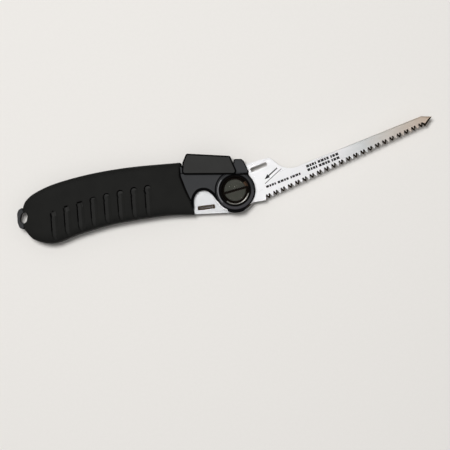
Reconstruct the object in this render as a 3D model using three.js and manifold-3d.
// A Japanese pull saw: a keyhole blade and a second blade fold into one handle.
//
// Units are millimetres. x runs from the tail of the handle to the tip of the open blade,
// y runs from the teeth to the spine, and z comes out of the front side. Every piece is drawn
// about the blade pivot at (0, 0, 0), in the middle plane between the blades. At the end the
// whole saw moves so that its origin is under the middle of its box: it lies on its back side.

import * as THREE from "three";
import { mergeVertices } from "three/addons/utils/BufferGeometryUtils.js";
import Module from "manifold-3d";

const wasm = await Module();
wasm.setup();

// ---------------------------------------------------------------- driving dimensions

const GAP = 0.3; // clearance between pieces that rest against each other
const ROUND = 40; // sides of a full circle

// layers, as heights above the middle plane; the back side mirrors them
const BLADE_Z = 1.0; // middle of the keyhole blade; the second blade is at -BLADE_Z
const BLADE_THICK = 0.9;
const CHANNEL_Z = 2.35; // inner face of a cheek
const CHEEK_Z = 5.0; // outer face of the bare cheek
const RAISED_Z = 6.2; // boss ring, front ear, and the core under the sleeve
const REST_Z = 10.0; // flat sides of the soft sleeve, on which the saw lies
const CAP_Z = 8.2; // sides of the lever cap

// blades
const FOLD_ANGLE = 194; // degrees from open to folded
const HUB_R = 14.3;
const BUSH_R = 4.0;
const SHOULDER_ANGLE = 3; // slope of the shoulder edge, tangent to the hub
const SHOULDER_END = 26.6;
const HEEL = new THREE.Vector2(18.1, -10.9);
const TOOTH_ANGLE = 11.34; // slope of the line of tooth tips
const FIRST_GULLET = 1.42; // along that line, from the heel
const TOOTH_LINE_END = 113.1;
const LOCK_ANGLE = 100; // where the lock nose meets the hubs
const LOCK_DEPTH = 1.3;

// lock lever
const LEVER_PIN = new THREE.Vector2(-14, 18.3);
const LEVER_PIN_R = 1.2;
const LEVER_HALF_Z = 2.0;
const CAP_PIN = new THREE.Vector2(-21.5, 25.0);
const CAP_PIN_R = 0.9;
const SPRING_X = -23.3;
const SPRING_LOW = 19.0;
const SPRING_HIGH = 23.4;

// handle
const BOSS_R = 13.2;
const SKIRT_R = 14.5; // of the cheek below the boss, which covers the rims of the hubs
const RECESS_R = 10.4;
const RECESS_FLOOR = 4.4;
const TIP_SWING_R = 137.4; // end wall of the channel, outside the sweep of the blade tip
const SLEEVE_WALL = 3.0; // along the spine and the lower edge
const SPINE = [[-136.3, 21.8], [-133, 25.6], [-126, 29], [-112, 31.7], [-89, 32.4], [-62.8, 30.6], [-29.9, 25.8]];
const BELLY = [[-29, -9.4], [-45, -6], [-64.5, -4], [-84.3, -3], [-105, -4.1], [-121.8, -6], [-133.6, -0.8], [-138.6, 7.2]];
const SCREWS = [[-50, 22.2], [-84, 24.6], [-117, 24.8]];
const STOP_PIN = new THREE.Vector2(7.3, 16.2);
const STOP_PIN_R = 1.2;
const GRIP_SIDES = [[-140, 6], [-130, 8.8], [-118, 10.3], [-85, 10.5], [-52, 10.2], [-28, 7]]; // full swell
const LANYARD_HOLE = { x: -137.2, y: 14.8, length: 7.1, width: 4.6, lean: 66 };
const SCOOPS = 8;
const SCOOP_PITCH = 8.97;
const FIRST_SCOOP_X = -116.9;
const SCOOP_LEAN = 9.3; // degrees from upright
const SCOOP_WIDTH = 4.6;
const SCOOP_DEPTH = 0.9;
const NUT_CORNER_R = 7.5;

// ---------------------------------------------------------------- solids

const radians = THREE.MathUtils.degToRad;

function solid(geometry) {
  geometry.deleteAttribute("normal");
  geometry.deleteAttribute("uv");
  const merged = mergeVertices(geometry, 1e-4);
  return new wasm.Manifold(
    new wasm.Mesh({
      numProp: 3,
      vertProperties: new Float32Array(merged.attributes.position.array),
      triVerts: new Uint32Array(merged.index.array),
    }),
  );
}

// the outline as a polygon with no point closer than a hundredth to the one before it
function polygon(shape, curveSegments) {
  const points = shape.extractPoints(curveSegments).shape;
  return new THREE.Shape(points.filter((point, i) => point.distanceTo(points.at(i - 1)) > 0.01));
}

// a flat outline carried along z from low to high
function plate(shape, low, high, curveSegments = 12) {
  const settings = { depth: high - low, bevelEnabled: false };
  return solid(new THREE.ExtrudeGeometry(polygon(shape, curveSegments), settings).translate(0, 0, low));
}

// the same between -half and half, with its rims rounded inwards
function pillow(shape, half, rim, bevelSegments, curveSegments = 12) {
  const geometry = new THREE.ExtrudeGeometry(polygon(shape, curveSegments), {
    depth: 2 * (half - rim),
    bevelThickness: rim,
    bevelSize: rim,
    bevelOffset: -rim,
    bevelSegments,
  });
  return solid(geometry.translate(0, 0, rim - half));
}

function disc(radius, low, high, x = 0, y = 0, sides = ROUND) {
  const geometry = new THREE.CylinderGeometry(radius, radius, high - low, sides);
  return solid(geometry.rotateX(Math.PI / 2).translate(x, y, (low + high) / 2));
}

// a profile of [radius, z] points turned about the z axis
function turned(profile, sides = ROUND) {
  const points = profile.map(([radius, z]) => new THREE.Vector2(radius, z));
  return solid(new THREE.LatheGeometry(points, sides).rotateX(Math.PI / 2));
}

function ring(inner, outer, low, high) {
  return disc(outer, low, high).subtract(disc(inner, low - 1, high + 1));
}

function union(...solids) {
  return solids.reduce((sum, next) => sum.add(next));
}

// a closed outline through [x, y, corner radius] points
function outline(corners) {
  const shape = new THREE.Shape();
  corners.forEach(([x, y, radius = 0], i) => {
    const [lastX, lastY] = corners[(i + corners.length - 1) % corners.length];
    const [nextX, nextY] = corners[(i + 1) % corners.length];
    const corner = new THREE.Vector2(x, y);
    const back = new THREE.Vector2(lastX, lastY).sub(corner).normalize();
    const ahead = new THREE.Vector2(nextX, nextY).sub(corner).normalize();
    const half = Math.acos(THREE.MathUtils.clamp(back.dot(ahead), -1, 1)) / 2;
    const reach = radius / Math.tan(half);
    const start = corner.clone().addScaledVector(back, reach);
    if (i === 0) shape.moveTo(start.x, start.y);
    else shape.lineTo(start.x, start.y);
    if (radius > 0) {
      const bisector = back.clone().add(ahead).normalize();
      const centre = corner.clone().addScaledVector(bisector, radius / Math.sin(half));
      const end = corner.clone().addScaledVector(ahead, reach);
      const from = Math.atan2(start.y - centre.y, start.x - centre.x);
      const to = Math.atan2(end.y - centre.y, end.x - centre.x);
      shape.absarc(centre.x, centre.y, radius, from, to, back.cross(ahead) > 0);
    }
  });
  shape.closePath();
  return shape;
}

// a straight slot with round ends, turned by degrees
function slot(x, y, length, width, degrees) {
  const run = (length - width) / 2;
  const turn = radians(degrees);
  const side = Math.PI / 2;
  const shape = new THREE.Shape();
  shape.absarc(x + run * Math.cos(turn), y + run * Math.sin(turn), width / 2, turn - side, turn + side);
  shape.absarc(x - run * Math.cos(turn), y - run * Math.sin(turn), width / 2, turn + side, turn + 3 * side);
  shape.closePath();
  return shape;
}

function material(color, roughness, metalness) {
  return new THREE.MeshStandardMaterial({ color, roughness, metalness });
}

function piece(name, body, look) {
  const { vertProperties, triVerts } = body.getMesh();
  const geometry = new THREE.BufferGeometry();
  geometry.setAttribute("position", new THREE.BufferAttribute(vertProperties, 3));
  geometry.setIndex(new THREE.BufferAttribute(triVerts, 1));
  geometry.computeVertexNormals();
  const mesh = new THREE.Mesh(geometry, look);
  mesh.name = name;
  return mesh;
}

// ---------------------------------------------------------------- blades

// The root is the same on both blades: hub, shoulder with a nail slot, and heel.
// back lists the corners from the shoulder along the back to the end of the teeth.
function blade({ teeth, depth, back, nailSlotLean, z }) {
  const along = new THREE.Vector2(Math.cos(radians(TOOTH_ANGLE)), Math.sin(radians(TOOTH_ANGLE)));
  const inward = new THREE.Vector2(-along.y, along.x);
  const pitch = (TOOTH_LINE_END - FIRST_GULLET) / teeth;
  const tangent = radians(90 + SHOULDER_ANGLE);
  const shoulderTop = HUB_R / Math.sin(tangent) + SHOULDER_END * Math.tan(radians(SHOULDER_ANGLE));
  const corners = [
    [HUB_R * Math.cos(tangent), HUB_R * Math.sin(tangent)],
    [SHOULDER_END, shoulderTop, 3],
    ...back,
  ];
  for (let i = teeth; i >= 0; i--) {
    const gullet = HEEL.clone().addScaledVector(along, FIRST_GULLET + pitch * i).addScaledVector(inward, depth);
    corners.push(gullet.toArray());
    if (i > 0) {
      const tip = HEEL.clone().addScaledVector(along, FIRST_GULLET + pitch * (i - 0.5));
      corners.push(tip.toArray());
    }
  }
  corners.push(HEEL.toArray(), [9.6, -10.2, 2], [7.4, -12, 0], [0, 0]);

  const low = z - BLADE_THICK / 2;
  const high = z + BLADE_THICK / 2;
  let body = plate(outline(corners), low, high, 4).add(disc(HUB_R, low, high));
  body = body.subtract(disc(BUSH_R + 0.15, low - 1, high + 1));
  body = body.subtract(plate(slot(18.5, 11.1, 10.8, 2.3, nailSlotLean), low - 1, high + 1, 4));
  for (const angle of [LOCK_ANGLE, LOCK_ANGLE + FOLD_ANGLE]) {
    const notch = new THREE.BoxGeometry(2 * LOCK_DEPTH, 5, 4);
    notch.translate(HUB_R, 0, 0).rotateZ(radians(angle)).translate(0, 0, z);
    body = body.subtract(solid(notch));
  }
  return body;
}

const keyholeBlade = blade({
  teeth: 43,
  depth: 2.8,
  back: [[35.4, 4.5, 13], [128.7, 18.5, 1], [135.7, 16.4, 0.9], [129.6, 11.4, 0.3]],
  nailSlotLean: 12,
  z: BLADE_Z,
});
const secondBlade = blade({
  teeth: 56,
  depth: 2.0,
  back: [[31.5, 10.6, 8], [124, 22, 6], [129.4, 13.6, 0.3]],
  nailSlotLean: 9,
  z: -BLADE_Z,
});

// ---------------------------------------------------------------- handle

// The outline of the grip, drawn in by inset, with front as the points of its front edge.
function gripOutline(inset, front) {
  const upper = SPINE.map(([x, y]) => new THREE.Vector2(x, y - inset));
  const lower = BELLY.map(([x, y]) => new THREE.Vector2(x, y + inset));
  const shape = new THREE.Shape();
  shape.moveTo(upper[0].x, upper[0].y);
  shape.splineThru(upper.slice(1));
  shape.splineThru([...front.map(([x, y]) => new THREE.Vector2(x, y)), lower[0]]);
  shape.splineThru(lower.slice(1));
  shape.closePath();
  return shape;
}

// The open space between the cheeks: the blade channel, its front mouth, and the lever's slot.
function channel(low, high) {
  const wall = radians(171.8);
  const shape = new THREE.Shape();
  shape.moveTo(-20.5, 16.8);
  shape.lineTo(-20.5, SPRING_LOW - GAP / 2);
  shape.lineTo(-29, SPRING_LOW - GAP / 2);
  shape.lineTo(-29, 40);
  shape.lineTo(30, 40);
  shape.lineTo(30, -40);
  shape.lineTo(-130, -40);
  shape.absarc(0, 0, TIP_SWING_R, Math.PI + 0.25, wall, true);
  shape.lineTo(-130, 21.8);
  shape.closePath();
  return plate(shape, low, high, 8);
}

function bareFront() {
  const shape = new THREE.Shape();
  shape.moveTo(-36, 22.8);
  shape.lineTo(-24, 22.8);
  shape.lineTo(3.2, 17.5);
  shape.lineTo(3.7, 19.9);
  shape.lineTo(8.6, 18.7);
  shape.lineTo(9.8, 17);
  shape.lineTo(11.5, 9);
  shape.quadraticCurveTo(11.4, 5.4, 13.1, 1.6);
  shape.absarc(0, 0, BOSS_R, radians(7), radians(-76), true);
  shape.absarc(0, 0, SKIRT_R, radians(-84), radians(-122), true);
  shape.absarc(0, 0, BOSS_R, radians(-128), radians(-139), true);
  shape.splineThru([[-13.2, -3.5], [-16.2, 2.2], [-20.3, 4.7], [-25.2, 3.2], [-27.8, -1.6], [-28.9, -6.3]]
    .map(([x, y]) => new THREE.Vector2(x, y)));
  shape.lineTo(-36, -5);
  shape.closePath();
  return shape;
}

// The ear and the band under the lever cap are raised above the bare cheek.
const raisedBand = outline([
  [-36, 22.8], [-24, 22.8], [3.2, 17.5], [3.7, 19.9], [8.6, 18.7, 0.5], [9.8, 17], [11.5, 9], [11.3, 8.4, 0.5],
  [-36, 19.5],
]);

const lug = outline([
  [-136.7, 21.5, 0.5], [-139.3, 20.6, 1.5], [-140.7, 18.6, 3], [-141.8, 12.6, 3], [-141.3, 9.2, 1.5],
  [-138.95, 7.3, 0.5], [-138.4, 10.5], [-135, 10.6], [-134, 18.6], [-137.2, 18.6],
]);

// the hole in the tail for a hanging cord, drawn outwards by extra
function lanyardHole(extra) {
  const { x, y, length, width, lean } = LANYARD_HOLE;
  return plate(slot(x, y, length + 2 * extra, width + 2 * extra, lean), -REST_Z - 1, REST_Z + 1, 6);
}

function frameHalf() {
  const inner = GAP / 2;
  const core = gripOutline(SLEEVE_WALL, [[-33.5, 19], [-33.6, 15], [-31.6, 4], [-30, -4]]);
  let body = union(
    plate(bareFront(), inner, CHEEK_Z, 3),
    plate(raisedBand, inner, RAISED_Z, 2),
    disc(BOSS_R, inner, RAISED_Z),
    plate(core, inner, RAISED_Z, 2),
    plate(lug, inner, CHEEK_Z, 3),
  );
  body = body.subtract(channel(-1, CHANNEL_Z));
  body = body.subtract(lanyardHole(0));
  body = body.subtract(disc(BUSH_R + 0.25, -1, RAISED_Z + 1));
  body = body.subtract(disc(LEVER_PIN_R + 0.15, -1, CHEEK_Z, LEVER_PIN.x, LEVER_PIN.y, 16));
  body = body.subtract(disc(STOP_PIN_R + 0.15, -1, CHEEK_Z, STOP_PIN.x, STOP_PIN.y, 16));
  for (const [x, y] of SCREWS) body = body.subtract(disc(1.5, -1, CHEEK_Z, x, y, 12));
  return body;
}

function frameFront() {
  return frameHalf().subtract(disc(RECESS_R, RECESS_FLOOR, RAISED_Z + 1));
}

function frameBack() {
  let body = frameHalf().subtract(disc(NUT_CORNER_R + GAP, 3.9, RAISED_Z + 1, 0, 0, 6));
  for (const [x, y] of SCREWS) body = body.subtract(disc(2.7, 4.4, RAISED_Z + 1, x, y, 12));
  return body.mirror([0, 0, 1]);
}

// Leaning scoops in the front side, deepest along their rear edge, their upper ends on a shallow arch.
function scoops() {
  const tilt = Math.asin(SCOOP_DEPTH / SCOOP_WIDTH);
  const lean = radians(SCOOP_LEAN);
  const cutters = [];
  for (let i = 0; i < SCOOPS; i++) {
    const x = FIRST_SCOOP_X + SCOOP_PITCH * i;
    const top = 17.6 - 0.0022 * (x + 77) ** 2;
    const bottom = 1.4 - 0.0022 * (x + 84) ** 2;
    const bar = slot(0, 0, (top - bottom) / Math.cos(lean), SCOOP_WIDTH, 90);
    const geometry = new THREE.ExtrudeGeometry(polygon(bar, 3), { depth: 4, bevelEnabled: false });
    geometry.rotateY(-tilt).rotateZ(-lean);
    geometry.translate(x - ((top - bottom) / 2) * Math.tan(lean), (top + bottom) / 2, REST_Z - SCOOP_DEPTH / 2);
    cutters.push(solid(geometry));
  }
  return union(...cutters);
}

// The full grip: cushioned sections between the spine and the lower edge, thinner at both ends, with
// their sides cut flat.
function gripBody() {
  const heights = (points) => new THREE.CubicInterpolant(points.map(([x]) => x), points.map(([, y]) => y), 1);
  const upper = heights([[-140, 15], ...SPINE]);
  const lower = heights([[-140, 12], ...BELLY.toReversed()]);
  const sides = heights(GRIP_SIDES);
  const stations = 26;
  const around = 20;
  const tail = -139.5;
  const front = -28.5;
  const vertices = [];
  const faces = [];
  for (let i = 0; i <= stations; i++) {
    const x = THREE.MathUtils.lerp(tail, front, i / stations);
    const [top] = upper.evaluate(x);
    const [bottom] = lower.evaluate(x);
    const [side] = sides.evaluate(x);
    for (let j = 0; j < around; j++) {
      const turn = (2 * Math.PI * (j + 0.5)) / around;
      const y = Math.sign(Math.cos(turn)) * Math.abs(Math.cos(turn)) ** 0.45;
      const z = Math.sign(Math.sin(turn)) * Math.abs(Math.sin(turn)) ** 0.45;
      vertices.push(x, (top + bottom) / 2 + (y * (top - bottom)) / 2, z * side);
      const a = i * around + j;
      const b = i * around + ((j + 1) % around);
      if (i < stations) faces.push(a, b, a + around, b, b + around, a + around);
    }
  }
  const last = stations * around;
  for (let j = 1; j < around - 1; j++) faces.push(0, j + 1, j, last, last + j, last + j + 1);
  const swollen = new wasm.Manifold(
    new wasm.Mesh({
      numProp: 3,
      vertProperties: new Float32Array(vertices),
      triVerts: new Uint32Array(faces),
    }),
  );
  return swollen.intersect(solid(new THREE.BoxGeometry(400, 200, 2 * REST_Z)));
}

function gripSleeve() {
  const aheadOfFront = new THREE.Shape();
  aheadOfFront.moveTo(-29.6, 40);
  aheadOfFront.lineTo(-29.9, 25.8);
  aheadOfFront.splineThru([[-31.8, 22.7], [-32.8, 17], [-31.8, 9.4], [-29.9, -0.5], [-29, -9.4]]
    .map(([x, y]) => new THREE.Vector2(x, y)));
  aheadOfFront.lineTo(-29, -20);
  aheadOfFront.lineTo(-10, -20);
  aheadOfFront.lineTo(-10, 40);
  const behindTail = outline([[-136.3, 21.8], [-134, 36], [-150, 36], [-150, -5], [-140.5, -5]]);
  const wall = SLEEVE_WALL - GAP;
  const frontMouth = outline([[-34, -7.2 + wall], [-20, -7.2 + wall], [-20, 25.9 - wall], [-34, 25.9 - wall]]);
  const tailMouth = outline([[-145, 7.2 + wall], [-137, 7.2 + wall], [-135, 21.8 - wall], [-145, 21.8 - wall]]);
  const cutters = scoops();
  let body = gripBody().subtract(cutters).subtract(cutters.mirror([0, 0, 1]));
  body = body.subtract(plate(aheadOfFront, -20, 20, 3)).subtract(plate(behindTail, -20, 20));
  for (const hollow of [gripOutline(wall, []), frontMouth, tailMouth]) {
    body = body.subtract(plate(hollow, -RAISED_Z - GAP, RAISED_Z + GAP, 2));
  }
  return body.subtract(channel(-CHANNEL_Z, CHANNEL_Z)).subtract(lanyardHole(GAP));
}

// ---------------------------------------------------------------- pivot

function pivotBolt() {
  const head = turned([[0, 5.2], [9, 5.2], [9, 6.2], [8.4, 6.8], [7.1, 6.6], [6.9, 7.0], [0, 7.0]]);
  const coinSlot = new THREE.BoxGeometry(20, 1.5, 2).rotateZ(radians(2.4)).translate(0, 0, 6.9);
  return union(head, disc(3, -5.9, 5.3)).subtract(solid(coinSlot));
}

function pivotNut() {
  return disc(NUT_CORNER_R, -6, -4.2, 0, 0, 6).subtract(disc(3.15, -7, -3));
}

function springWasher() {
  return turned([[4.6, 4.85], [8, 4.55], [8, 4.75], [4.6, 5.05], [4.6, 4.85]], 32);
}

// ---------------------------------------------------------------- lock lever

const LEVER = outline([
  [-25.6, 28, 1], [0.8, 20.1, 1.5], [0.8, 18], [-0.51, 14.59], [-4.51, 13.89], [-5.2, 16.1, 1], [-17.2, 16.1, 1.5],
  [-18.6, 19.5], [-20.5, 23.4, 0.6], [-25.6, 23.4, 0.6],
]);

function lockLever() {
  let body = plate(LEVER, -LEVER_HALF_Z, LEVER_HALF_Z, 3);
  body = body.subtract(disc(LEVER_PIN_R + 0.15, -5, 5, LEVER_PIN.x, LEVER_PIN.y, 20));
  return body.subtract(disc(CAP_PIN_R + 0.15, -5, 5, CAP_PIN.x, CAP_PIN.y, 16));
}

function leverCap() {
  const side = outline([
    [-25.2, 30.5, 1.6], [2.1, 22.4, 1.4], [4.3, 9.5, 2.2], [-31.2, 17.9, 2.2], [-28.9, 25.4, 2],
  ]);
  const inside = outline([
    [-26.5, 28.7, 0.5], [0.5, 20.7], [0.5, 20.3], [10, 20.3], [10, 0], [-40, 0], [-40, 25.1], [-26.5, 25.1],
  ]);
  let body = pillow(side, CAP_Z, 0.8, 1, 3);
  body = body.subtract(plate(inside, -RAISED_Z - GAP, RAISED_Z + GAP, 4));
  return body.subtract(disc(CAP_PIN_R + 0.15, -7.6, 7.6, CAP_PIN.x, CAP_PIN.y, 16));
}

function leverSpring() {
  class Coil extends THREE.Curve {
    getPoint(t, target = new THREE.Vector3()) {
      const angle = t * 3.5 * 2 * Math.PI;
      const rise = THREE.MathUtils.lerp(SPRING_LOW + 0.45, SPRING_HIGH - 0.55, t);
      return target.set(SPRING_X + 1.5 * Math.cos(angle), rise, 1.5 * Math.sin(angle));
    }
  }
  const wire = new THREE.Shape().absarc(0, 0, 0.25, 0, 2 * Math.PI);
  const geometry = new THREE.ExtrudeGeometry(wire, { steps: 42, curveSegments: 3, extrudePath: new Coil() });
  return solid(geometry);
}

// ---------------------------------------------------------------- assembly

const nylon = material(0x404143, 0.55, 0);
const capNylon = material(0x373735, 0.6, 0);
const rubber = material(0x2b2b29, 0.8, 0);
const bladeSteel = material(0xe7e8ea, 0.3, 1);
const darkSteel = material(0x4a4740, 0.35, 1);
const pinSteel = material(0x9a9a98, 0.35, 1);
const springSteel = material(0x8a8c8e, 0.3, 1);

const saw = new THREE.Group();
saw.add(
  piece("frame_front_half", frameFront(), nylon),
  piece("frame_back_half", frameBack(), nylon),
  piece("grip_sleeve", gripSleeve(), rubber),
  piece("pivot_bolt", pivotBolt(), darkSteel),
  piece("pivot_nut", pivotNut(), darkSteel),
  piece("pivot_bush", ring(3.2, BUSH_R, -3.9, 4.3), pinSteel),
  piece("spring_washer", springWasher(), springSteel),
  piece("washer_front", ring(4.25, 11, 1.7, 2.1), pinSteel),
  piece("washer_middle", ring(4.25, 11, -0.3, 0.3), pinSteel),
  piece("washer_back", ring(4.25, 11, -2.1, -1.7), pinSteel),
  piece("open_stop_pin", disc(STOP_PIN_R, -4.8, 4.8, STOP_PIN.x, STOP_PIN.y, 16), pinSteel),
  piece("lever_pin", disc(LEVER_PIN_R, -4.8, 4.8, LEVER_PIN.x, LEVER_PIN.y, 16), pinSteel),
  piece("lever_spring", leverSpring(), springSteel),
  piece("lock_lever", lockLever(), darkSteel),
  piece("lever_cap", leverCap(), capNylon),
  piece("cap_pin", disc(CAP_PIN_R, -7.3, 7.3, CAP_PIN.x, CAP_PIN.y, 16), pinSteel),
  piece("keyhole_blade", keyholeBlade, bladeSteel),
);

SCREWS.forEach(([x, y], i) => {
  const screw = turned([[0, -5.8], [2.4, -5.8], [2.4, -4.7], [1.25, -4.7], [1.25, 4.2], [0, 4.8]], 12);
  const mesh = piece(`frame_screw_${i + 1}`, screw, pinSteel);
  mesh.position.set(x, y, 0);
  saw.add(mesh);
});

const folded = piece("second_blade", secondBlade, bladeSteel);
folded.rotation.z = -radians(FOLD_ANGLE);
saw.add(folded);

const box = new THREE.Box3().setFromObject(saw, true);
const centre = box.getCenter(new THREE.Vector3());
saw.position.set(-centre.x, -centre.y, -box.min.z);

export default saw;
